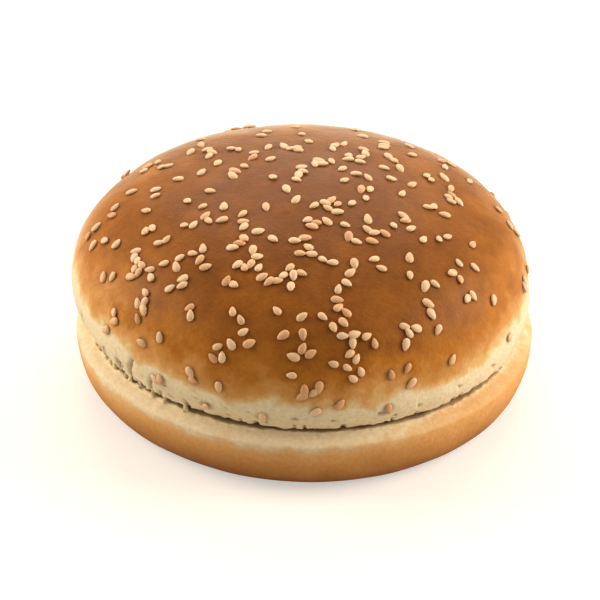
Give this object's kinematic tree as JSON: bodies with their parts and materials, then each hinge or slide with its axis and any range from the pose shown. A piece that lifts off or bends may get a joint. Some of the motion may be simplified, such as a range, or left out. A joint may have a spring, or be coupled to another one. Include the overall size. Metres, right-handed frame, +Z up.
{
  "type": "sesame burger bun",
  "caption": "Round sliced burger bun: a domed, seeded crown on a flat heel, with a browned top and base and a pale side.",
  "frame": {"origin": "on the surface the bun stands on, under the middle of its box", "axes": "+Z up through the dome; +Y away from the side that the picture looks at; +X to the right as seen there"},
  "size_m": [0.117, 0.1158, 0.0566],
  "materials": {
    "crown_bread": "golden brown baked crust with a soft egg-wash sheen, paling to cream at the waist",
    "heel_bread": "matt light brown baked crust, cream just under the cut",
    "sesame_seed": "hulled white sesame, lightly toasted, smooth and slightly waxy",
    "crumb": "soft cream crumb at the cut, open and matt"
  },
  "bodies": {
    "root": {"crown": "crown_bread", "heel": "heel_bread"}
  },
  "joints": []
}
